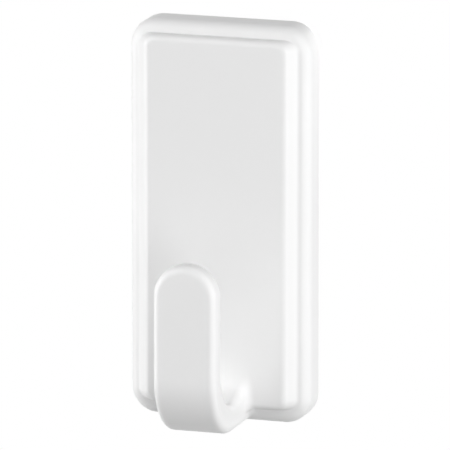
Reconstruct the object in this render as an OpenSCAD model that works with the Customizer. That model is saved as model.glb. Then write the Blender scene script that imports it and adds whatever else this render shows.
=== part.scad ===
// Adhesive wall hook.
// A moulded cover with a J hook slides down onto a base plate, and a stretch-release strip
// holds the base plate to the wall. Millimetres, +Z up, front towards -Y.
// The origin is on the wall plane, at the middle of the cover's outline.

/* [Cover] */
// Width of the cover's rim
cover_w = 37.4; // [35:0.1:44]
// Height of the cover's rim
cover_h = 80; // [78:0.5:95]
// Distance from the wall to the front of the rim
rim_depth = 7.6; // [6.6:0.1:9]
// How far the raised face stands in front of the rim
face_rise = 2.3; // [2:0.1:4]
// Corner radius of the rim's outline
corner_r = 5.5; // [4.8:0.1:8]
// Radius of the rim's front edge
rim_edge_r = 2.6; // [1:0.1:3]
// Step between the rim and the raised face along the long sides
face_side_step = 2.1; // [1.6:0.1:3]
// Step between the rim and the raised face at the top and bottom
face_end_step = 2.8; // [2:0.1:4]
// Corner radius of the raised face's outline
face_corner_r = 4; // [3.4:0.1:6]
// Radius of the raised face's front edge
face_edge_r = 2.3; // [1:0.1:3]
// Thickness of the side and top walls
wall_t = 2.2; // [1.6:0.1:2.6]
// Thickness of the front skin, behind the rim and behind the raised face
skin_t = 2.2; // [1.6:0.1:2.4]
// Gap between the wall and the cover's open back
back_gap = 0.5; // [0.3:0.1:0.8]

/* [Hook] */
// Width of the hook
hook_w = 12.9; // [10:0.1:16]
// Thickness of the hook
hook_t = 4.9; // [4.4:0.1:6.4]
// Radius along the hook's edges
hook_edge_r = 1.6; // [1:0.1:2]
// Distance from the wall to the front of the hook
hook_reach = 29.7; // [28:0.1:38]
// Height of the hook's underside above the cover's lower edge
hook_lift = 0.2; // [0.1:0.1:4]
// Height of the hook's tip above its underside
hook_rise = 35.7; // [30:0.1:44]
// Outer radius of the hook's bend
hook_bend_r = 12.7; // [10:0.1:14]
// Radius of the fillet between the hook and the raised face
root_fillet_r = 2; // [1:0.1:3]
// Radius of the fillet between the top of the hook's root and the raised face
throat_r = 7; // [4:0.1:7.5]

/* [Slide fastening] */
// Height of the base plate and its rails
plate_h = 56; // [50:0.5:60]
// Thickness of the base plate's panel
plate_t = 2; // [1.4:0.1:2.4]
// How far the base plate's panel reaches past the strip on each side
panel_margin = 0.6; // [0.3:0.1:1.5]
// How far the cover's lips reach behind the rails
lip_grip = 1.8; // [1.2:0.1:2.4]
// Thickness of the cover's lips
lip_t = 1.5; // [1.2:0.1:1.6]
// Width of each rail's front face
rail_w = 4.6; // [4:0.1:6]
// Running clearance in front of and behind the rails
slide_clearance = 0.2; // [0.1:0.05:0.3]
// Running clearance beside the rails and the panel
side_clearance = 0.3; // [0.2:0.05:0.4]
// Thickness of the cover's guide ribs, which run in front of the rails
guide_t = 1.5; // [1:0.1:2]
// Length of the sloped lead-in at the top of each rail
lead_in = 3; // [2:0.1:5]
// How far the lead-in cuts into the back of each rail
lead_in_cut = 0.8; // [0.4:0.1:1]
// Number of stiffening ribs across the base plate
rib_count = 3; // [1:1:5]
// Thickness of a stiffening rib
rib_t = 1.6; // [1:0.1:2.4]

/* [Strip] */
// Width of the strip
strip_w = 20; // [16:0.5:22]
// Length of the sticky part of the strip
stick_h = 38; // [30:0.5:48]
// Length of the dry pull tab
tab_h = 12; // [8:0.5:14]
// Corner radius of the pull tab
tab_corner_r = 4; // [2:0.5:6]
// Corner radius of the strip's sticky end
strip_corner_r = 1; // [0.5:0.1:2]
// Thickness of the foam core
core_t = 0.7; // [0.5:0.05:0.9]
// Thickness of each sticky layer and of each tab film
layer_t = 0.15; // [0.1:0.05:0.2]

/* [Hidden] */
$fn = 64;
overlap = 0.5;

// Depths, measured out from the wall
face_depth = rim_depth + face_rise;
strip_t = core_t + 2 * layer_t;
lip_front = back_gap + lip_t;
rail_back = lip_front + slide_clearance;
rim_ceiling = rim_depth - skin_t;
rail_front = rim_ceiling - slide_clearance;
face_ceiling = face_depth - skin_t;

// Half widths and heights of the shell's hollow
hollow_x = cover_w / 2 - wall_t;
hollow_top = cover_h / 2 - wall_t;
hollow_corner_r = corner_r - wall_t;
face_x = cover_w / 2 - face_side_step;
face_top = cover_h / 2 - face_end_step;
face_hollow_x = face_x - face_edge_r;
face_hollow_top = face_top - face_edge_r;
face_hollow_r = face_corner_r - face_edge_r;

// The hook, whose underside is nearly level with the cover's lower edge
hook_bottom = -cover_h / 2 + hook_lift;
hook_inside = hook_bottom + hook_t;
bend_depth = hook_reach - hook_bend_r;
bend_up = hook_bottom + hook_bend_r;
tip_up = hook_bottom + hook_rise - hook_w / 2;
root_back = rim_ceiling + overlap;
root_block_top = hook_inside + root_fillet_r;

// The base plate hangs under the cover's top wall, and the strip ends level with its lower edge
plate_top = hollow_top;
plate_bottom = plate_top - plate_h;
panel_x = strip_w / 2 + panel_margin;
lip_x = panel_x + side_clearance;
rail_x = lip_x + lip_grip;
mouth_x = rail_x + side_clearance;
lip_top = hollow_top - hollow_corner_r;
strip_bottom = plate_bottom;
tab_bottom = strip_bottom - tab_h;

fillet_steps = 6;
fillet_sink = 0.05;
corner_steps = 8;

echo(hook_gap = hook_reach - hook_t - face_depth, plate_width = 2 * rail_x, slide_travel = plate_h);

// Turns a shape drawn as (right, up, out from the wall) into the part's frame
module on_wall() {
    rotate([90, 0, 0]) children();
}

// Extrudes a (right, out) section downwards from a given height
module hang_from(up, length) {
    translate([0, up, 0]) rotate([90, 0, 0]) linear_extrude(length) children();
}

// Rectangle with round corners, centred on the origin
module rounded_rect(w, h, r) {
    square([w - 2 * r, h], center = true);
    square([w, h - 2 * r], center = true);
    for (x = [-1, 1], y = [-1, 1])
        translate([x * (w / 2 - r), y * (h / 2 - r)]) circle(r);
}

// Section of a slab whose front edges are rounded, standing on the (right, out) origin
module front_rounded_section(w, depth, r) {
    translate([-w / 2, 0]) square([w, depth - r]);
    translate([-w / 2 + r, 0]) square([w - 2 * r, depth]);
    for (x = [-1, 1])
        translate([x * (w / 2 - r), depth - r]) circle(r);
}

// Slab with round corners and a rounded front edge
module soft_slab(w, h, corner, depth, edge) {
    hang_from(h / 2 - corner, h - 2 * corner) front_rounded_section(w, depth, edge);
    rotate([0, 0, 90]) hang_from(w / 2 - corner, w - 2 * corner) front_rounded_section(h, depth, edge);
    for (x = [-1, 1], y = [-1, 1])
        translate([x * (w / 2 - corner), y * (h / 2 - corner), 0])
            rotate_extrude() intersection() {
                front_rounded_section(2 * corner, depth, edge);
                square([corner, depth]);
            }
}

// Outside of the cover, without the hook
module cover_outside() {
    translate([0, 0, back_gap])
        soft_slab(cover_w, cover_h, corner_r, rim_depth - back_gap, rim_edge_r);
    translate([0, 0, back_gap])
        soft_slab(2 * face_x, 2 * face_top, face_corner_r, face_depth - back_gap, face_edge_r);
}

// Hollow of the cover: a shallow space inside the rim, a deeper middle, and a mouth at the bottom
module cover_hollow() {
    linear_extrude(rim_ceiling) rounded_rect(2 * hollow_x, 2 * hollow_top, hollow_corner_r);
    middle_h = face_hollow_top - root_block_top;
    translate([0, root_block_top + middle_h / 2, 0])
        linear_extrude(face_ceiling) rounded_rect(2 * face_hollow_x, middle_h, face_hollow_r);
    translate([-mouth_x, -cover_h / 2 - overlap, 0])
        cube([2 * mouth_x, wall_t + 2 * overlap, rim_ceiling]);
}

// Lips behind the rails, and guide ribs in front of them
module cover_slides() {
    slide_h = lip_top - plate_bottom;
    for (side = [0, 1])
        mirror([side, 0, 0]) translate([0, plate_bottom, 0]) {
            translate([lip_x, 0, back_gap]) cube([hollow_x - lip_x + overlap, slide_h, lip_t]);
            translate([rail_x - rail_w / 2 - guide_t / 2, 0, rim_ceiling])
                cube([guide_t, slide_h, face_ceiling - rim_ceiling + overlap]);
        }
}

// Section of the hook, centred on the origin
module hook_section() {
    rounded_rect(hook_w, hook_t, hook_edge_r);
}

// J hook: full-round tip, straight arm, bend and root
module hook() {
    translate([0, tip_up, hook_reach - hook_t / 2])
        rotate_extrude(angle = 180) intersection() {
            hook_section();
            translate([0, -hook_t / 2]) square([hook_w / 2, hook_t]);
        }
    translate([0, 0, hook_reach - hook_t / 2])
        hang_from(tip_up, tip_up - bend_up) hook_section();
    translate([0, bend_up, bend_depth])
        rotate([0, 90, 0]) rotate([0, 0, 180])
            rotate_extrude(angle = 90)
                translate([hook_bend_r - hook_t / 2, 0]) rotate(90) hook_section();
    translate([0, hook_bottom + hook_t / 2, root_back])
        linear_extrude(bend_depth - root_back) hook_section();
}

// Points of the fillet's outline at a spread outside the hook's section, over the flat of the face
function fillet_ring(spread, out) = let (r = hook_edge_r + spread, x = hook_w / 2 - hook_edge_r)
    concat([for (i = [0:corner_steps]) let (a = 90 * i / corner_steps)
                [x + r * cos(a), hook_inside - hook_edge_r + r * sin(a), out]],
           [for (i = [0:corner_steps]) let (a = 90 + 90 * i / corner_steps)
                [-x + r * cos(a), hook_inside - hook_edge_r + r * sin(a), out]]);

// Concave fillet where the top and sides of the hook's root meet the raised face.
// Its first and last rings are sunk into the face and the hook.
module root_fillet() {
    sides = 2 * (corner_steps + 1);
    r = root_fillet_r;
    rings = concat([fillet_ring(r, face_ceiling + overlap), fillet_ring(r, face_depth - fillet_sink)],
                   [for (k = [1:fillet_steps - 1])
                       let (a = 90 * k / fillet_steps)
                           fillet_ring(r * (1 - sin(a)), face_depth + r * (1 - cos(a)))],
                   [fillet_ring(-overlap, face_depth + r)]);
    last = len(rings) - 1;
    polyhedron(
        points = [for (ring = rings) each ring],
        faces = concat(
            [[for (i = [0:sides - 1]) i]],
            [for (k = [0:last - 1], i = [0:sides - 1]) let (j = (i + 1) % sides)
                [k * sides + i, (k + 1) * sides + i, (k + 1) * sides + j, k * sides + j]],
            [[for (i = [sides - 1:-1:0]) last * sides + i]]));
}

// Concave fillet between the flat top of the hook's root and the raised face, sunk a little into both
module throat_fillet() {
    width = hook_w - 2 * hook_edge_r - overlap;
    translate([-width / 2, hook_inside - fillet_sink, face_depth - fillet_sink])
        rotate([0, 90, 0]) rotate([0, 0, 90]) linear_extrude(width) difference() {
            translate([-overlap, -overlap]) square(throat_r + overlap);
            translate([throat_r, throat_r]) circle(throat_r);
        }
}

// Front moulding: shell, slide lips and hook in one piece
module hook_cover() {
    color("white") on_wall() {
        difference() {
            cover_outside();
            cover_hollow();
        }
        cover_slides();
        hook();
        root_fillet();
        throat_fillet();
    }
}

// Section of one rail: a side bar on the panel, with a flange that the cover's lip runs behind
module rail_section() {
    translate([rail_x - rail_w, strip_t]) square([panel_x - rail_x + rail_w, rail_front - strip_t]);
    translate([rail_x - rail_w, rail_back]) square([rail_w, rail_front - rail_back]);
}

// Wedge that slopes the back of a flange off towards its top end
module lead_in_wedge() {
    translate([panel_x, 0, 0]) rotate([0, 90, 0]) rotate([0, 0, 90])
        linear_extrude(rail_x - panel_x + overlap)
            polygon([[plate_top - lead_in, rail_back],
                     [plate_top + overlap, rail_back - overlap],
                     [plate_top + overlap, rail_back + lead_in_cut * (1 + overlap / lead_in)]]);
}

// Wall plate with its panel, side rails and stiffening ribs
module base_plate() {
    rib_pitch = plate_h / (rib_count + 1);
    color("whitesmoke") on_wall() {
        intersection() {
            union() {
                translate([-panel_x, plate_bottom, strip_t]) cube([2 * panel_x, plate_h, plate_t]);
                for (side = [0, 1])
                    mirror([side, 0, 0]) difference() {
                        hang_from(plate_top, plate_h) rail_section();
                        lead_in_wedge();
                    }
                for (i = [1:rib_count])
                    translate([-panel_x, plate_bottom + i * rib_pitch - rib_t / 2, strip_t])
                        cube([2 * panel_x, rib_t, rail_front - strip_t]);
            }
            translate([0, (plate_top + plate_bottom) / 2, 0])
                linear_extrude(rim_ceiling) rounded_rect(2 * rail_x, plate_h, hollow_corner_r);
        }
    }
}

// Outline of the whole strip: square-cut sticky part above, round-cornered tab below
module strip_outline() {
    hull_h = stick_h + tab_h;
    intersection() {
        translate([0, tab_bottom + hull_h / 2]) rounded_rect(strip_w, hull_h, strip_corner_r);
        translate([0, tab_bottom + hull_h]) rounded_rect(strip_w, 2 * hull_h, tab_corner_r);
    }
}

// One layer of the strip between two heights, from a depth outwards
module strip_layer(low, high, depth, thick) {
    on_wall() translate([0, 0, depth]) linear_extrude(thick) intersection() {
        strip_outline();
        translate([-strip_w / 2, low]) square([strip_w, high - low]);
    }
}

// Stretchable foam core, which runs on into the pull tab
module strip_core() {
    color("ivory") strip_layer(tab_bottom, strip_bottom + stick_h, layer_t, core_t);
}

// Sticky layer on the wall side
module wall_adhesive() {
    color("beige") strip_layer(strip_bottom, strip_bottom + stick_h, 0, layer_t);
}

// Sticky layer on the base plate's side
module plate_adhesive() {
    color("beige") strip_layer(strip_bottom, strip_bottom + stick_h, layer_t + core_t, layer_t);
}

// Dry film on the room side of the pull tab
module tab_front_film() {
    color("lightgray") strip_layer(tab_bottom, strip_bottom, layer_t + core_t, layer_t);
}

// Dry film on the wall side of the pull tab
module tab_back_film() {
    color("lightgray") strip_layer(tab_bottom, strip_bottom, 0, layer_t);
}

hook_cover();
base_plate();
strip_core();
wall_adhesive();
plate_adhesive();
tab_front_film();
tab_back_film();
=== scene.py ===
"""Wall hook with a slide-on cover: finished pieces and a studio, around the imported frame."""

import math
from types import SimpleNamespace

import bmesh
import bpy
import numpy as np
from bpy.props import FloatProperty, FloatVectorProperty, IntProperty, PointerProperty
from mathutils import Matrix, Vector


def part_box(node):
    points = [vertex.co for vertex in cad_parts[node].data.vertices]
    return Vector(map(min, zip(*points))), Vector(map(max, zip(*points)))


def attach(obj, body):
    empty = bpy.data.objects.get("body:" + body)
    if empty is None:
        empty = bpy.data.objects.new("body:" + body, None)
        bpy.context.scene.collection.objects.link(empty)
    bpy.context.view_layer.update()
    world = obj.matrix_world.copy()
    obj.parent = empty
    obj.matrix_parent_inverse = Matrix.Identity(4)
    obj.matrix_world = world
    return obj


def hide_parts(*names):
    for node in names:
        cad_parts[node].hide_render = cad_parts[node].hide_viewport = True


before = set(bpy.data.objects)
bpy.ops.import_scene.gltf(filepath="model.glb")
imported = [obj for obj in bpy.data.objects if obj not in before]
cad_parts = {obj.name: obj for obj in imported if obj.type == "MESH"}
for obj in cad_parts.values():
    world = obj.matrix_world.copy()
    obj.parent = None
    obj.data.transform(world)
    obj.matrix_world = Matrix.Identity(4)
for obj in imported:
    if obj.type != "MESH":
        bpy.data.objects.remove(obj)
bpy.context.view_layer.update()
MM = 0.001

bl_info = {
    "name": "Wall Hook",
    "version": (1, 0, 0),
    "blender": (4, 5, 0),
    "location": "3D View > Sidebar > Wall Hook",
    "description": "Makes a slide-on wall hook with its base plate and adhesive strip",
    "category": "Add Mesh",
}


def linear(code):
    """An sRGB hex colour as linear red, green and blue."""
    parts = [int(code[i : i + 2], 16) / 255 for i in (1, 3, 5)]
    return tuple(c / 12.92 if c <= 0.04045 else ((c + 0.055) / 1.055) ** 2.4 for c in parts)


# ---------------------------------------------------------------- sizes and colours


def length(label, millimetres, about):
    """A length property, kept in metres."""
    return FloatProperty(
        name=label, description=about, default=millimetres * MM, precision=5, unit="LENGTH"
    )


def colour(label, code, about):
    """A colour property, from an sRGB hex value."""
    return FloatVectorProperty(
        name=label, description=about, default=linear(code), size=3, min=0, max=1, subtype="COLOR"
    )


def level(label, default, about):
    """A light level property, where 1 lights a white surface to white."""
    return FloatProperty(name=label, description=about, default=default, min=0)


def span(node):
    """A CAD node's lowest and highest corner in millimetres."""
    low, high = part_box(node)
    return low / MM, high / MM


cover_low, cover_high = span("hook_cover")
plate_low, plate_high = span("base_plate")
core_low, core_high = span("strip_core")


class CoverSizes(bpy.types.PropertyGroup):
    """Sizes and colour of the moulded cover with its hook."""

    width: length("Width", cover_high.x - cover_low.x, "Width over the rim")
    height: length("Height", cover_high.z - cover_low.z, "Height over the rim")
    reach: length("Reach", -cover_low.y, "From the wall to the front of the hook")
    back_gap: length("Back Gap", -cover_high.y, "From the wall to the cover's back edge")
    rim_depth: length("Rim Depth", 7.6, "From the wall to the front of the rim")
    face_depth: length("Face Depth", 9.9, "From the wall to the raised face")
    corner_r: length("Corner Radius", 5.5, "Corner radius of the rim's outline")
    rim_edge_r: length("Rim Edge", 2.8, "Radius of the rim's front edge")
    back_edge_r: length("Back Edge", 0.3, "Radius of the rim's back edge")
    face_side_step: length("Side Step", 2.3, "Step from rim to face along the sides")
    face_top_step: length("Top Step", 2.6, "Step from rim to face at the top")
    face_low_step: length("Low Step", 3.1, "Step from rim to face at the bottom")
    face_corner_r: length("Face Corner", 2.2, "Corner radius of the raised face")
    face_bevel: length("Face Bevel", 2.15, "Width of the slope down each side of the raised face")
    face_side_r: length("Bevel Edge", 0.55, "Softening between the raised face and its bevels")
    face_end_r: length("End Edge", 1.4, "Radius between the raised face and its ends")
    groove_r: length("Groove", 0.2, "Fillet in the groove between rim and face")
    wall: length("Wall", 2.2, "Thickness of the side walls")
    skin: length("Skin", 2.2, "Thickness behind the front surfaces")
    hook_w: length("Hook Width", 12.9, "Width of the hook")
    hook_t: length("Hook Thickness", 4.9, "Thickness of the hook's arm")
    root_t: length("Root Thickness", 5.5, "Thickness of the hook at its root")
    hook_edge_r: length("Hook Edge", 1.65, "Radius along the hook's edges")
    hook_lift: length("Hook Lift", 0.2, "Hook's underside above the cover's lower edge")
    hook_rise: length("Hook Rise", 35.7, "Hook's tip above its underside")
    hook_bend_r: length("Hook Bend", 12.7, "Outer radius of the hook's bend")
    throat_r: length("Throat", 9.0, "Radius of the throat, at the arm and at the face")
    root_fillet_r: length("Root Fillet", 1.8, "Fillet between the hook's sides and the face")
    lip_x: length("Lip Edge", 10.9, "From the middle to the edge of a slide lip")
    lip_t: length("Lip Thickness", 1.5, "Thickness of a slide lip")
    lip_top: length("Lip Top", 34.5, "Height of the lips' upper end")
    lip_bottom: length("Lip Bottom", plate_low.z, "Height of the lips' lower end")
    guide_x: length("Guide Rib", 10.4, "From the middle to a guide rib")
    guide_t: length("Guide Thickness", 1.5, "Thickness of a guide rib")
    mouth_x: length("Mouth", 13.0, "Half width of the mouth in the lower wall")
    white: colour("White", "#E9E9E9", "Colour of the moulded cover")


class PlateSizes(bpy.types.PropertyGroup):
    """Sizes and colour of the base plate behind the cover."""

    half_w: length("Half Width", plate_high.x, "From the middle to a rail's outer edge")
    bottom: length("Bottom", plate_low.z, "Height of the lower edge")
    top: length("Top", plate_high.z, "Height of the upper edge")
    back: length("Back", -plate_high.y, "From the wall to the panel")
    front: length("Front", -plate_low.y, "From the wall to the front of the rails")
    panel_x: length("Panel Half Width", 10.6, "From the middle to the panel's edge")
    panel_t: length("Panel Thickness", 2.0, "Thickness of the panel")
    rail_w: length("Rail Width", 4.6, "Width of a rail's front")
    rail_back: length("Rail Back", 2.2, "From the wall to the back of a rail's flange")
    corner_r: length("Corner Radius", 3.3, "Corner radius of the outline")
    edge_r: length("Edge", 0.3, "Radius of the edges")
    lead_in: length("Lead-in", 3.0, "Length of the slope at the top of a rail")
    lead_in_cut: length("Lead-in Cut", 0.8, "Depth of the slope at the top of a rail")
    rib_t: length("Rib Thickness", 1.6, "Thickness of a cross rib")
    rib_count: IntProperty(
        name="Ribs", description="Number of cross ribs", default=3, min=1, max=7
    )
    white: colour("White", "#E4E4E0", "Colour of the base plate")


class StripSizes(bpy.types.PropertyGroup):
    """Sizes and colours of the stretch-release strip."""

    width: length("Width", core_high.x - core_low.x, "Width of the strip")
    tab_corner_r: length("Tab Corner", 4.0, "Corner radius of the pull tab")
    end_corner_r: length("End Corner", 1.0, "Corner radius of the sticky end")
    foam: colour("Foam", "#F1EFE6", "Colour of the foam core")
    gum: colour("Adhesive", "#E6DFC4", "Colour of the sticky layers")
    film: colour("Film", "#E3E6E6", "Colour of the tab's films")


class StudioSettings(bpy.types.PropertyGroup):
    """Camera, lamps and floor."""

    azimuth: FloatProperty(
        name="Azimuth", description="Camera to the right of the front",
        default=math.radians(17.93), subtype="ANGLE",
    )
    elevation: FloatProperty(
        name="Elevation", description="Camera above the horizon",
        default=math.radians(12.64), subtype="ANGLE",
    )
    distance: length("Distance", 1500, "From the camera to the point it looks at")
    field: length("Field", 89.03, "Width that the picture shows at that point")
    aim_right: length("Aim Right", -0.974, "How far right of the origin the camera looks")
    aim_up: length("Aim Up", -2.027, "How far above the origin the camera looks")
    floor_drop: length("Floor Drop", 700, "From the origin down to the floor")
    ambient: level("Ambient", 0.04, "Level of the light from all round")
    right: level("Right Lamp", 0.57, "Level of the softbox in front on the right")
    right_side: level("Right Side Lamp", 0.41, "Level of the softbox at the right side")
    left_side: level("Left Side Lamp", 0.94, "Level of the softbox at the left side")
    front: level("Front Lamp", 0.06, "Level of the softbox in front")
    high_right: level("High Right Lamp", 0.35, "Level of the softbox up on the right")
    high_left: level("High Left Lamp", 0.28, "Level of the softbox up on the left")
    back: level("Back Lamp", 0.5, "Level of the softbox behind")
    floor: colour("Floor", "#F2F2F1", "Colour of the floor")


def in_mm(sizes):
    """The lengths of a property group in millimetres."""
    values = {k: getattr(sizes, k) for k in sizes.__annotations__}
    return SimpleNamespace(**{k: v / MM for k, v in values.items() if isinstance(v, float)})


# ---------------------------------------------------------------- distance fields, in mm


def rounded(a, b, half_a, half_b, r):
    """Distance to a rectangle about the origin with round corners."""
    qa, qb = np.abs(a) - half_a + r, np.abs(b) - half_b + r
    outside = np.hypot(np.maximum(qa, 0), np.maximum(qb, 0))
    return outside + np.minimum(np.maximum(qa, qb), 0) - r


def between(value, low, high):
    """Distance to the slab between two levels."""
    return np.abs(value - (low + high) / 2) - (high - low) / 2


def soft_and(a, b, r):
    """Where both shapes are, with the edge between them rounded."""
    return np.minimum(-r, np.maximum(a, b)) + np.hypot(np.maximum(a + r, 0), np.maximum(b + r, 0))


def soft_or(a, b, r):
    """Where either shape is, with a fillet between them."""
    return np.maximum(r, np.minimum(a, b)) - np.hypot(np.maximum(r - a, 0), np.maximum(r - b, 0))


def smooth_step(value, low, high):
    """0 up to the low level, 1 from the high level on, and a smooth rise between them."""
    t = np.clip((value - low) / (high - low), 0, 1)
    return t * t * (3 - 2 * t)


def hook_distance(c, x, out, z):
    """Distance to the J: a round-edged bar from the root, round the bend and up to a round tip.

    The throat behind the arm is a U, whose far side starts a fillet's depth inside the face."""
    underside = c.hook_lift - c.height / 2
    front = soft_and(out - c.reach, underside - z, c.hook_bend_r)
    throat = soft_and(out - c.reach + c.hook_t, underside + c.root_t - z, c.throat_r)
    throat = soft_and(throat, c.face_depth - c.root_fillet_r - out, c.throat_r)
    tip_z = underside + c.hook_rise - c.hook_w / 2
    across = np.where(z > tip_z, np.hypot(x, z - tip_z), np.abs(x)) - c.hook_w / 2
    return soft_and(across, np.maximum(front, -throat), c.hook_edge_r)


def cover_distance(c, x, y, z):
    """Distance to the cover: stepped plate, hook, hollow, slide lips and guide ribs."""
    out, side = -y, np.abs(x)
    half_w, half_h = c.width / 2, c.height / 2
    face_x = half_w - c.face_side_step
    face_top, face_low = half_h - c.face_top_step, c.face_low_step - half_h
    rim_ceiling, face_ceiling = c.rim_depth - c.skin, c.face_depth - c.skin

    # the rim, and the raised face, whose bevelled sides turn into round ends at its corners
    turn = 2.0
    outline = rounded(x, z, half_w, half_h, c.corner_r)
    rim = soft_and(outline, out - c.rim_depth, c.rim_edge_r)
    rim = soft_and(rim, c.back_gap - out, c.back_edge_r)
    lift = out - c.rim_depth
    bevel = c.face_bevel / (c.face_depth - c.rim_depth)
    sides = (side - face_x + bevel * lift) / math.hypot(1, bevel)
    ends = between(z, face_low, face_top)
    at_end = smooth_step(ends - sides, -turn, turn)
    edge_r = c.face_side_r + (c.face_end_r - c.face_side_r) * at_end
    face = soft_and(soft_and(sides, ends, c.face_corner_r), out - c.face_depth, edge_r)
    plate = soft_or(rim, np.maximum(face, -lift - 2 * c.groove_r), c.groove_r)

    # the hook, whose fillet dies out towards the cover's lower edge
    fade_low, fade_high, least_r = 0.3, 3.3, 0.05
    hook = np.maximum(hook_distance(c, x, out, z), rim_ceiling + c.wall / 4 - out)
    fillet = c.root_fillet_r * smooth_step(z, fade_low - half_h, fade_high - half_h) + least_r
    solid = soft_or(plate, hook, fillet)

    # the hollow: deep behind the face, shallow behind the rim, and open at the mouth
    ceiling_r, corner_r, margin, opening_r = 0.5, 1.1, 0.3, 0.3
    deep_low = c.hook_lift + c.root_t + c.root_fillet_r - half_h
    deep_top, deep_x = face_top - c.skin, face_x - c.face_bevel - margin
    deep = rounded(x, z - (deep_top + deep_low) / 2, deep_x, (deep_top - deep_low) / 2, corner_r)
    deep = soft_and(deep, out - face_ceiling, ceiling_r)
    shallow = rounded(x, z, half_w - c.wall, half_h - c.wall, c.corner_r - c.wall)
    shallow = soft_and(shallow, out - rim_ceiling, ceiling_r)
    mouth = np.maximum(np.maximum(side - c.mouth_x, z + half_h - 2 * c.wall), out - rim_ceiling)
    hollow = np.minimum(np.minimum(deep, shallow), mouth)
    shell = soft_and(solid, -hollow, opening_r)

    # the slide lips and guide ribs, each grown into the wall that carries it
    overlap, edge, foot_r = 1.0, 0.25, 0.3
    lip_end, guide_end = half_w - overlap, face_ceiling + overlap
    run = between(z, c.lip_bottom, c.lip_top)
    lip = rounded(
        side - (c.lip_x + lip_end) / 2, out - c.back_gap - c.lip_t / 2,
        (lip_end - c.lip_x) / 2, c.lip_t / 2, edge,
    )
    guide = rounded(
        side - c.guide_x, out - (rim_ceiling + guide_end) / 2,
        c.guide_t / 2, (guide_end - rim_ceiling) / 2, edge,
    )
    slides = np.minimum(soft_and(lip, run, edge), soft_and(guide, run, edge))
    return soft_or(shell, slides, foot_r)


def plate_distance(p, x, y, z):
    """Distance to the base plate: a panel with a flanged rail down each side."""
    flange_fillet_r, rail_fillet_r, lead_in_r = 0.2, 0.3, 0.1
    out, side = -y, np.abs(x)
    outline = rounded(x, z - (p.top + p.bottom) / 2, p.half_w, (p.top - p.bottom) / 2, p.corner_r)
    rail_x = p.half_w - p.rail_w
    panel = np.maximum(side - p.panel_x, between(out, p.back, p.back + p.panel_t))
    bar = rounded(
        side - (rail_x + p.panel_x) / 2, out - (p.back + p.front) / 2,
        (p.panel_x - rail_x) / 2, (p.front - p.back) / 2, p.edge_r,
    )
    flange = rounded(
        side - (rail_x + p.half_w) / 2, out - (p.rail_back + p.front) / 2,
        p.rail_w / 2, (p.front - p.rail_back) / 2, p.edge_r,
    )
    solid = soft_or(panel, soft_or(bar, flange, flange_fillet_r), rail_fillet_r)
    slope = p.lead_in_cut / p.lead_in
    behind = (out - p.rail_back - slope * (z - p.top + p.lead_in)) / math.hypot(1, slope)
    wedge = np.maximum(behind, p.panel_x - side)
    return soft_and(soft_and(solid, outline, p.edge_r), -wedge, lead_in_r)


# ---------------------------------------------------------------- meshes


def graded(*stops):
    """Grid lines from (place, step) pairs: each step holds up to the next place."""
    runs = [
        np.linspace(start, end, max(1, round((end - start) / step)), endpoint=False)
        for (start, step), (end, _) in zip(stops, stops[1:])
    ]
    return np.concatenate(runs + [[stops[-1][0]]])


def slope_of(distance, points, step=0.02):
    """Distance at each point, and the direction in which it grows fastest."""
    slopes = []
    for axis in range(3):
        ahead, behind = points.copy(), points.copy()
        ahead[:, axis] += step
        behind[:, axis] -= step
        slopes.append((distance(*ahead.T) - distance(*behind.T)) / (2 * step))
    return distance(*points.T), np.stack(slopes, 1)


def skin_over(distance, lines, draws=5, least_slope=0.2, longest_move=0.25):
    """Points, faces and normals of a closed skin over a distance field, one point to a grid cell.

    Each grid edge that crosses the surface gives a face between the four cells round it, and
    the points are then drawn onto the surface itself."""
    values = distance(*np.meshgrid(*lines, indexing="ij", sparse=True))
    shape = np.array(values.shape) - 1
    corners, crossings = [], []
    for axis in range(3):
        b, c = (axis + 1) % 3, (axis + 2) % 3
        ahead = np.roll(values, -1, axis)
        change = (values < 0) != (ahead < 0)
        # the last layer has no edge ahead of it
        change[tuple(slice(-1, None) if k == axis else slice(None) for k in range(3))] = False
        at = np.argwhere(change)
        here, there = values[change], ahead[change]
        place = np.stack([lines[k][at[:, k]] for k in range(3)], 1)
        place[:, axis] += here / (here - there) * np.diff(lines[axis])[at[:, axis]]
        cells = []
        for step_b, step_c in ((1, 1), (0, 1), (0, 0), (1, 0)):
            cell = at.copy()
            cell[:, b] -= step_b
            cell[:, c] -= step_c
            cells.append(np.ravel_multi_index(cell.T, shape))
        cells = np.stack(cells, 1)
        cells[here >= 0] = cells[here >= 0][:, ::-1]
        corners.append(cells)
        crossings.append(np.repeat(place, 4, 0))
    faces, crossings = np.concatenate(corners), np.concatenate(crossings)
    faces = np.unique(faces.ravel(), return_inverse=True)[1]
    count = np.bincount(faces)
    points = np.stack([np.bincount(faces, crossings[:, k]) / count for k in range(3)], 1)
    for _ in range(draws):
        off, slope = slope_of(distance, points)
        move = off / np.maximum((slope**2).sum(1), least_slope)
        points -= np.clip(move, -longest_move, longest_move)[:, None] * slope
    normals = slope_of(distance, points)[1]
    normals /= np.maximum(np.linalg.norm(normals, axis=1, keepdims=True), 1e-6)
    return points, faces.reshape(-1, 4), normals


def moulded_mesh(name, distance, sizes, across, out, up):
    """A smooth mesh, in metres, over a distance field in millimetres.

    The grid lines run from the middle to one side, from the wall into the room, and up."""
    lines = (np.concatenate((-across[::-1], across)), -out[::-1], up)
    points, faces, normals = skin_over(lambda *place: distance(sizes, *place), lines)
    mesh = bpy.data.meshes.new(name)
    mesh.from_pydata((points * MM).tolist(), [], faces.tolist())
    mesh.shade_smooth()
    mesh.normals_split_custom_set_from_vertices(normals.tolist())
    return mesh


def add_piece(name, mesh, material, body, slot, *nodes):
    """The finished piece: at the origin, on its body, standing for its CAD nodes."""
    piece = bpy.data.objects.new(name, mesh)
    bpy.context.scene.collection.objects.link(piece)
    mesh.materials.clear()
    mesh.materials.append(material)
    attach(piece, body)
    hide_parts(*nodes)
    return piece


# ---------------------------------------------------------------- nodes


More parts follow.
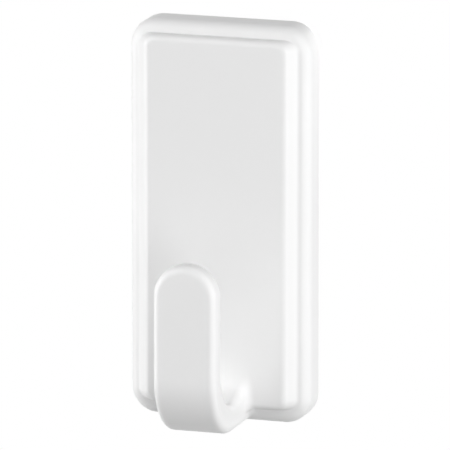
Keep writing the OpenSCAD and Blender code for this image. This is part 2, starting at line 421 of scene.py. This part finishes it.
def plug(tree, node, links):
    """Sets a node's inputs, each from a socket or to a plain value."""
    for key, value in links.items():
        if isinstance(value, bpy.types.NodeSocket):
            tree.links.new(value, node.inputs[key])
        else:
            node.inputs[key].default_value = value


def add(tree, kind, links=None, **settings):
    """Adds a node with its settings and links."""
    node = tree.nodes.new(kind)
    for name, value in settings.items():
        setattr(node, name, value)
    plug(tree, node, links or {})
    return node


def slab_tree(corner_steps=10, touching=1e-6):
    """Round-cornered slabs in a row up the wall, each standing out from it."""
    tree = bpy.data.node_groups.new("slabs_on_wall", "GeometryNodeTree")
    socket = tree.interface.new_socket
    socket("Geometry", in_out="OUTPUT", socket_type="NodeSocketGeometry")
    for name in (
        "Width", "Height", "Thickness", "Depth", "Middle", "Pitch", "Upper Corner", "Lower Corner",
    ):
        socket(name, in_out="INPUT", socket_type="NodeSocketFloat")
    socket("Count", in_out="INPUT", socket_type="NodeSocketInt")
    socket("Material", in_out="INPUT", socket_type="NodeSocketMaterial")
    size = add(tree, "NodeGroupInput").outputs

    # the outline, with one radius for its upper and one for its lower corners
    outline = add(
        tree, "GeometryNodeCurvePrimitiveQuadrilateral",
        {"Width": size["Width"], "Height": size["Height"]}, mode="RECTANGLE",
    )
    spot = add(tree, "GeometryNodeInputPosition")
    spot = add(tree, "ShaderNodeSeparateXYZ", {0: spot.outputs[0]})
    upper = add(tree, "FunctionNodeCompare", {0: spot.outputs["Y"]}, operation="GREATER_THAN")
    corner = add(
        tree, "GeometryNodeSwitch",
        {"Switch": upper.outputs[0], "False": size["Lower Corner"], "True": size["Upper Corner"]},
        input_type="FLOAT",
    )
    outline = add(
        tree, "GeometryNodeFilletCurve",
        {
            "Curve": outline.outputs[0], "Radius": corner.outputs[0],
            "Count": corner_steps, "Limit Radius": True,
        },
        mode="POLY",
    )

    # a closed slab from the outline, turned to stand on the wall
    back = add(tree, "GeometryNodeFillCurve", {"Curve": outline.outputs[0]}, mode="NGONS")
    rise = add(tree, "ShaderNodeCombineXYZ", {"Z": size["Thickness"]})
    front = add(
        tree, "GeometryNodeExtrudeMesh",
        {
            "Mesh": back.outputs[0], "Offset": rise.outputs[0],
            "Offset Scale": 1.0, "Individual": False,
        },
        mode="FACES",
    )
    back = add(tree, "GeometryNodeFlipFaces", {"Mesh": back.outputs[0]})
    slab = add(tree, "GeometryNodeJoinGeometry", {0: back.outputs[0]})
    plug(tree, slab, {0: front.outputs["Mesh"]})
    slab = add(
        tree, "GeometryNodeMergeByDistance", {"Geometry": slab.outputs[0], "Distance": touching}
    )
    slab = add(
        tree, "GeometryNodeTransform",
        {"Geometry": slab.outputs[0], "Rotation": (math.pi / 2, 0, 0)},
    )

    # one slab to each place of the row
    out = add(tree, "ShaderNodeMath", {0: size["Depth"], 1: -1.0}, operation="MULTIPLY")
    start = add(tree, "ShaderNodeCombineXYZ", {"Y": out.outputs[0], "Z": size["Middle"]})
    pitch = add(tree, "ShaderNodeCombineXYZ", {"Z": size["Pitch"]})
    row = add(
        tree, "GeometryNodeMeshLine",
        {"Count": size["Count"], "Start Location": start.outputs[0], "Offset": pitch.outputs[0]},
        mode="OFFSET",
    )
    slabs = add(
        tree, "GeometryNodeInstanceOnPoints",
        {"Points": row.outputs[0], "Instance": slab.outputs[0]},
    )
    slabs = add(tree, "GeometryNodeRealizeInstances", {"Geometry": slabs.outputs[0]})
    slabs = add(
        tree, "GeometryNodeSetMaterial",
        {"Geometry": slabs.outputs[0], "Material": size["Material"]},
    )
    add(tree, "NodeGroupOutput", {"Geometry": slabs.outputs[0]})
    return tree


def slab_mesh(name, tree, edge, **inputs):
    """A plain mesh from the slab tree, with its edges rounded; lengths in metres."""
    maker = bpy.data.objects.new(name + "_maker", bpy.data.meshes.new(name + "_maker"))
    bpy.context.scene.collection.objects.link(maker)
    slabs = maker.modifiers.new("slabs", "NODES")
    slabs.node_group = tree
    sockets = {s.name: s.identifier for s in tree.interface.items_tree if s.in_out == "INPUT"}
    for key, value in inputs.items():
        slabs[sockets[key.replace("_", " ").title()]] = value
    rounding = maker.modifiers.new("edges", "BEVEL")
    rounding.width, rounding.segments = edge, 3
    rounding.limit_method, rounding.harden_normals = "ANGLE", True
    graph = bpy.context.evaluated_depsgraph_get()
    mesh = bpy.data.meshes.new_from_object(maker.evaluated_get(graph), depsgraph=graph)
    mesh.name = name
    bpy.data.objects.remove(maker)
    if not mesh.polygons:
        raise RuntimeError(f"{name}: the slab tree gave no faces")
    mesh.shade_smooth()
    return mesh


# ---------------------------------------------------------------- materials

# a Mix node's sockets when it mixes colours
FACTOR, FIRST, SECOND, MIXED = 0, 6, 7, 2


def shade(tint, amount=1.0):
    """A colour with its alpha, for a socket, multiplied by an amount."""
    return (*[c * amount for c in tint], 1)


WHITE = shade(linear("#FFFFFF"))


def per(millimetres):
    """Texture scale that gives a pattern of this size."""
    return 1 / (millimetres * MM)


def new_finish(name):
    """A material with its tree, its surface shader and its Object coordinates."""
    finish = bpy.data.materials.new(name)
    finish.use_nodes = True
    tree = finish.node_tree
    place = add(tree, "ShaderNodeTexCoord").outputs["Object"]
    return finish, tree, tree.nodes["Principled BSDF"], place


def moulded_abs(white):
    """Half-gloss moulded ABS."""
    # ABS from a finely blasted tool: an even milky white, wide soft highlights, and a breath of
    # orange peel that keeps long reflections from looking drawn with a ruler.
    finish, tree, skin, place = new_finish("white_moulded_abs")
    flow = add(tree, "ShaderNodeTexNoise", {"Vector": place, "Scale": per(16), "Detail": 2.0})
    tone = add(
        tree, "ShaderNodeMix",
        {FACTOR: flow.outputs["Fac"], FIRST: shade(white), SECOND: shade(white, 0.985)},
        data_type="RGBA",
    )
    gloss = add(
        tree, "ShaderNodeMapRange",
        {"Value": flow.outputs["Fac"], "To Min": 0.36, "To Max": 0.43},
    )
    peel = add(tree, "ShaderNodeTexNoise", {"Vector": place, "Scale": per(1.1), "Detail": 1.0})
    bump = add(tree, "ShaderNodeBump", {"Height": peel.outputs["Fac"], "Distance": 0.004 * MM})
    plug(tree, skin, {
        "Base Color": tone.outputs[MIXED], "Normal": bump.outputs["Normal"],
        "Roughness": gloss.outputs["Result"], "IOR": 1.53,
    })
    return finish


def satin_polystyrene(white):
    """Satin moulded polystyrene."""
    # Polystyrene from a spark-eroded tool: a dull even white with a fine sparkle of grain.
    # The real grain is about 0.1 mm; it is drawn at 0.45 mm so that it shows in a render.
    finish, tree, skin, place = new_finish("satin_moulded_polystyrene")
    grain = add(tree, "ShaderNodeTexNoise", {"Vector": place, "Scale": per(0.45), "Detail": 3.0})
    tone = add(
        tree, "ShaderNodeMix",
        {FACTOR: grain.outputs["Fac"], FIRST: shade(white, 0.95), SECOND: shade(white)},
        data_type="RGBA",
    )
    bump = add(tree, "ShaderNodeBump", {"Height": grain.outputs["Fac"], "Distance": 0.03 * MM})
    plug(tree, skin, {
        "Base Color": tone.outputs[MIXED], "Normal": bump.outputs["Normal"],
        "Roughness": 0.52, "IOR": 1.59,
    })
    return finish


def closed_cell_foam(white):
    """Polyethylene foam."""
    # Closed-cell polyethylene foam: matt and chalky, pitted by cells of about 0.3 mm,
    # drawn at 0.6 mm so that they show in a render.
    finish, tree, skin, place = new_finish("closed_cell_foam")
    cells = add(tree, "ShaderNodeTexVoronoi", {"Vector": place, "Scale": per(0.6)})
    tone = add(
        tree, "ShaderNodeMix",
        {FACTOR: cells.outputs["Distance"], FIRST: shade(white), SECOND: shade(white, 0.82)},
        data_type="RGBA",
    )
    bump = add(
        tree, "ShaderNodeBump", {"Height": cells.outputs["Distance"], "Distance": 0.12 * MM}
    )
    plug(tree, skin, {
        "Base Color": tone.outputs[MIXED], "Normal": bump.outputs["Normal"], "Roughness": 0.9,
    })
    return finish


def rubber_adhesive(straw):
    """Rubber-resin adhesive."""
    # Rubber-resin adhesive: straw-coloured, tacky and shiny, with the faint quilted print
    # that its release paper leaves, 1.4 mm from line to line.
    finish, tree, skin, place = new_finish("rubber_resin_adhesive")
    turned = add(
        tree, "ShaderNodeMapping", {"Vector": place, "Rotation": (0, math.radians(45), 0)}
    )
    axes = add(tree, "ShaderNodeSeparateXYZ", {0: turned.outputs[0]})
    waves = []
    for axis in ("X", "Z"):
        angle = add(
            tree, "ShaderNodeMath",
            {0: axes.outputs[axis], 1: 2 * math.pi * per(1.4)}, operation="MULTIPLY",
        )
        wave = add(tree, "ShaderNodeMath", {0: angle.outputs[0]}, operation="SINE")
        waves.append(wave.outputs[0])
    quilt = add(tree, "ShaderNodeMath", {0: waves[0], 1: waves[1]}, operation="MAXIMUM")
    cloud = add(tree, "ShaderNodeTexNoise", {"Vector": place, "Scale": per(5), "Detail": 3.0})
    tone = add(
        tree, "ShaderNodeMix",
        {FACTOR: cloud.outputs["Fac"], FIRST: shade(straw), SECOND: shade(straw, 0.88)},
        data_type="RGBA",
    )
    bump = add(tree, "ShaderNodeBump", {"Height": quilt.outputs[0], "Distance": 0.03 * MM})
    plug(tree, skin, {
        "Base Color": tone.outputs[MIXED], "Normal": bump.outputs["Normal"],
        "Roughness": 0.3, "IOR": 1.52,
    })
    return finish


def polyester_film(grey):
    """Polyester film over foam."""
    # Thin polyester film laid over foam: slick, a little grey, and softly dimpled by the cells
    # below it, drawn 1.3 mm wide so that they show in a render.
    finish, tree, skin, place = new_finish("polyester_tab_film")
    dimples = add(
        tree, "ShaderNodeTexVoronoi", {"Vector": place, "Scale": per(1.3)}, feature="SMOOTH_F1"
    )
    ripple = add(tree, "ShaderNodeTexNoise", {"Vector": place, "Scale": per(6), "Detail": 2.0})
    tone = add(
        tree, "ShaderNodeMix",
        {FACTOR: ripple.outputs["Fac"], FIRST: shade(grey), SECOND: shade(grey, 0.93)},
        data_type="RGBA",
    )
    bump = add(
        tree, "ShaderNodeBump", {"Height": dimples.outputs["Distance"], "Distance": 0.04 * MM}
    )
    plug(tree, skin, {
        "Base Color": tone.outputs[MIXED], "Normal": bump.outputs["Normal"],
        "Roughness": 0.22, "IOR": 1.64,
    })
    return finish


def seen_white(tree):
    """1 for the rays that find the backdrop white: from the camera, off gloss or through glass."""
    ray = add(tree, "ShaderNodeLightPath").outputs
    seen = ray["Is Camera Ray"]
    for kind in ("Is Glossy Ray", "Is Transmission Ray"):
        seen = add(tree, "ShaderNodeMath", {0: seen, 1: ray[kind]}, operation="MAXIMUM").outputs[0]
    return seen


def studio_paper(pale, fade_from, fade_to):
    """Matt studio paper."""
    # Uncoated backdrop paper: dull and even. It fades into the white surround between two
    # distances from its middle, so it shows no horizon.
    finish, tree, paper, place = new_finish("pale_studio_paper")
    plug(tree, paper, {"Base Color": shade(pale), "Roughness": 0.9})
    flat = add(tree, "ShaderNodeVectorMath", {0: place, 1: (1, 1, 0)}, operation="MULTIPLY")
    reach = add(tree, "ShaderNodeVectorMath", {0: flat.outputs[0]}, operation="LENGTH")
    fade = add(
        tree, "ShaderNodeMapRange",
        {"Value": reach.outputs["Value"], "From Min": fade_from, "From Max": fade_to},
        interpolation_type="SMOOTHSTEP",
    )
    glow = add(tree, "ShaderNodeEmission", {"Color": WHITE, "Strength": 1.0})
    white = add(
        tree, "ShaderNodeMath", {0: seen_white(tree), 1: fade.outputs[0]}, operation="MULTIPLY"
    )
    mix = add(
        tree, "ShaderNodeMixShader", {0: white.outputs[0], 1: paper.outputs[0], 2: glow.outputs[0]}
    )
    plug(tree, tree.nodes["Material Output"], {"Surface": mix.outputs[0]})
    return finish


# ---------------------------------------------------------------- studio


def toward(turn, rise):
    """Direction from the origin, turned from the front to the right and raised from the level."""
    level_part = math.cos(rise)
    return Vector((math.sin(turn) * level_part, -math.cos(turn) * level_part, math.sin(rise)))


def add_camera(scene, s):
    """The camera, so far away that the picture has hardly any perspective."""
    back = toward(s.azimuth, s.elevation)
    right = Vector((math.cos(s.azimuth), math.sin(s.azimuth), 0))
    aim = right * s.aim_right + back.cross(right) * s.aim_up
    data = bpy.data.cameras.new("camera")
    data.lens = data.sensor_width * s.distance / s.field
    camera = bpy.data.objects.new("camera", data)
    camera.location = aim + back * s.distance
    camera.rotation_euler = (-back).to_track_quat("-Z", "Y").to_euler()
    scene.collection.objects.link(camera)
    scene.camera = camera


def add_softboxes(scene, s, away=1.0):
    """The softboxes, all facing the hook from the same distance in metres."""
    # degrees round from the front and up, then the softbox's size in metres and its level
    for name, turn, rise, width, height, amount in (
        ("right_softbox", 52, 0, 0.7, 0.8, s.right),
        ("right_side_softbox", 95, 0, 0.5, 0.8, s.right_side),
        ("left_side_softbox", -74, 0, 0.9, 0.8, s.left_side),
        ("front_softbox", 0, 0, 0.6, 0.6, s.front),
        ("high_right_softbox", 50, 40, 0.6, 0.6, s.high_right),
        ("high_left_softbox", -50, 40, 0.6, 0.6, s.high_left),
        ("back_softbox", 180, 0, 0.3, 0.3, s.back),
    ):
        lamp = bpy.data.lights.new(name, "AREA")
        lamp.shape, lamp.size, lamp.size_y = "RECTANGLE", width, height
        # the power that gives a surface square to the lamp its level
        lamp.energy = amount * math.pi**2 * away**2
        to_lamp = toward(math.radians(turn), math.radians(rise))
        box = bpy.data.objects.new(name, lamp)
        box.location = to_lamp * away
        # the up axis Z also rolls the softbox about its aim, and the levels are set for that
        box.rotation_euler = (-to_lamp).to_track_quat("-Z", "Z").to_euler()
        scene.collection.objects.link(box)


def add_surround(scene, s):
    """The world: white where it is seen or mirrored, and a low even light on everything else."""
    world = bpy.data.worlds.new("white_surround")
    scene.world = world
    world.use_nodes = True
    tree = world.node_tree
    tree.nodes.clear()
    soft = add(tree, "ShaderNodeBackground", {"Color": WHITE, "Strength": s.ambient})
    white = add(tree, "ShaderNodeBackground", {"Color": WHITE, "Strength": 1.0})
    mix = add(
        tree, "ShaderNodeMixShader", {0: seen_white(tree), 1: soft.outputs[0], 2: white.outputs[0]}
    )
    add(tree, "ShaderNodeOutputWorld", {"Surface": mix.outputs[0]})


def add_floor(scene, s, radius=0.4, sides=96, fade_from=0.08, fade_to=0.38):
    """The round paper floor, with its radius and fade in metres."""
    mesh = bpy.data.meshes.new("floor")
    disc = bmesh.new()
    bmesh.ops.create_circle(disc, cap_ends=True, segments=sides, radius=radius)
    bmesh.ops.translate(disc, verts=disc.verts, vec=(0, 0, -s.floor_drop))
    disc.to_mesh(mesh)
    disc.free()
    mesh.materials.append(studio_paper(s.floor, fade_from, fade_to))
    floor = bpy.data.objects.new("floor", mesh)
    scene.collection.objects.link(floor)


# ---------------------------------------------------------------- operators


class MakeCover(bpy.types.Operator):
    """Make the moulded cover with its hook"""

    bl_idname = "wall_hook.make_cover"
    bl_label = "Make Cover"

    def execute(self, context):
        sizes = context.scene.wall_hook_cover
        # fine lines where edges turn, wider ones over the flats; none falls on a flat surface
        across = graded((0.037, 0.6), (3.637, 0.4), (8.837, 0.45), (12.437, 0.3), (19.037, 0))
        out = graded((0.137, 0.3), (10.337, 0.45), (22.937, 0.35), (30.637, 0))
        up = graded((-40.763, 0.3), (-32.963, 0.45), (-3.263, 0.9), (32.737, 0.3), (40.837, 0))
        mesh = moulded_mesh("cover", cover_distance, in_mm(sizes), across, out, up)
        finish = moulded_abs(sizes.white)
        add_piece("cover_moulding", mesh, finish, "cover", "white_abs", "hook_cover")
        return {"FINISHED"}


class MakeBasePlate(bpy.types.Operator):
    """Make the base plate that the cover slides onto"""

    bl_idname = "wall_hook.make_base_plate"
    bl_label = "Make Base Plate"

    def execute(self, context):
        sizes = context.scene.wall_hook_plate
        across = graded((0.037, 0.9), (7.237, 0.25), (13.237, 0))
        out = graded((0.737, 0.25), (5.737, 0))
        up = graded((-18.763, 0.3), (-13.363, 0.9), (32.537, 0.3), (38.237, 0))
        mesh = moulded_mesh("base_plate", plate_distance, in_mm(sizes), across, out, up)
        finish = satin_polystyrene(sizes.white)
        add_piece("base_plate_panel", mesh, finish, "wall_plate", "plate_plastic", "base_plate")

        # a rib's foot is buried in the panel and its ends in the rails
        buried, edge, corner = 0.6 * MM, 0.25 * MM, 0.1 * MM
        pitch = (sizes.top - sizes.bottom) / (sizes.rib_count + 1)
        ribs = slab_mesh(
            "base_plate_ribs", slab_tree(), edge,
            width=2 * (sizes.half_w - sizes.rail_w) + buried, height=sizes.rib_t,
            thickness=sizes.front - sizes.back - buried, depth=sizes.back + buried,
            middle=sizes.bottom + pitch, pitch=pitch, count=sizes.rib_count,
            upper_corner=corner, lower_corner=corner, material=finish,
        )
        add_piece("base_plate_ribs", ribs, finish, "wall_plate", "plate_plastic", "base_plate")
        return {"FINISHED"}


class MakeStrip(bpy.types.Operator):
    """Make the layers of the stretch-release strip"""

    bl_idname = "wall_hook.make_strip"
    bl_label = "Make Strip"

    def execute(self, context):
        sizes = context.scene.wall_hook_strip
        foam, gum = closed_cell_foam(sizes.foam), rubber_adhesive(sizes.gum)
        film = polyester_film(sizes.film)
        tab, end, square = sizes.tab_corner_r, sizes.end_corner_r, 0.01 * MM
        core_edge, thin_edge = 0.2 * MM, 0.04 * MM
        tree = slab_tree()
        for node, finish, slot, low_r, high_r, edge in (
            ("strip_core", foam, "strip_foam", tab, end, core_edge),
            ("wall_adhesive", gum, "strip_adhesive", square, end, thin_edge),
            ("plate_adhesive", gum, "strip_adhesive", square, end, thin_edge),
            ("tab_front_film", film, "tab_film", tab, square, thin_edge),
            ("tab_back_film", film, "tab_film", tab, square, thin_edge),
        ):
            low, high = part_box(node)
            mesh = slab_mesh(
                node + "_layer", tree, edge, width=sizes.width, height=high.z - low.z,
                thickness=high.y - low.y, depth=-high.y, middle=(low.z + high.z) / 2,
                pitch=0.0, count=1, upper_corner=high_r, lower_corner=low_r, material=finish,
            )
            layer = add_piece(node + "_layer", mesh, finish, "wall_plate", slot, node)
        return {"FINISHED"}


class SetStudio(bpy.types.Operator):
    """Set up the camera, the softboxes, the white surround and the floor"""

    bl_idname = "wall_hook.set_studio"
    bl_label = "Set Studio"

    def execute(self, context):
        scene, settings = context.scene, context.scene.wall_hook_studio
        scene.view_settings.view_transform = "Standard"
        add_camera(scene, settings)
        add_softboxes(scene, settings)
        add_surround(scene, settings)
        add_floor(scene, settings)
        return {"FINISHED"}


class WallHookPanel(bpy.types.Panel):
    """Lists the pieces of the wall hook with their sizes and colours"""

    bl_idname = "VIEW3D_PT_wall_hook"
    bl_label = "Wall Hook"
    bl_space_type = "VIEW_3D"
    bl_region_type = "UI"
    bl_category = "Wall Hook"

    def draw(self, context):
        for group, operator in OPERATORS.items():
            box = self.layout.box()
            box.operator(operator.bl_idname)
            sizes = getattr(context.scene, "wall_hook_" + group)
            for name in sizes.__annotations__:
                box.prop(sizes, name)


GROUPS = {"cover": CoverSizes, "plate": PlateSizes, "strip": StripSizes, "studio": StudioSettings}
OPERATORS = {"cover": MakeCover, "plate": MakeBasePlate, "strip": MakeStrip, "studio": SetStudio}
CLASSES = (*GROUPS.values(), *OPERATORS.values(), WallHookPanel)


def register():
    """Adds the classes to Blender, and the sizes to its scenes."""
    for cls in CLASSES:
        bpy.utils.register_class(cls)
    for name, cls in GROUPS.items():
        setattr(bpy.types.Scene, "wall_hook_" + name, PointerProperty(type=cls))


def unregister():
    """Takes the sizes and the classes out again."""
    for name in GROUPS:
        delattr(bpy.types.Scene, "wall_hook_" + name)
    for cls in reversed(CLASSES):
        bpy.utils.unregister_class(cls)


def main():
    """Makes every piece and the studio."""
    register()
    bpy.ops.wall_hook.make_cover()
    bpy.ops.wall_hook.make_base_plate()
    bpy.ops.wall_hook.make_strip()
    bpy.ops.wall_hook.set_studio()


if __name__ == "__main__":
    main()
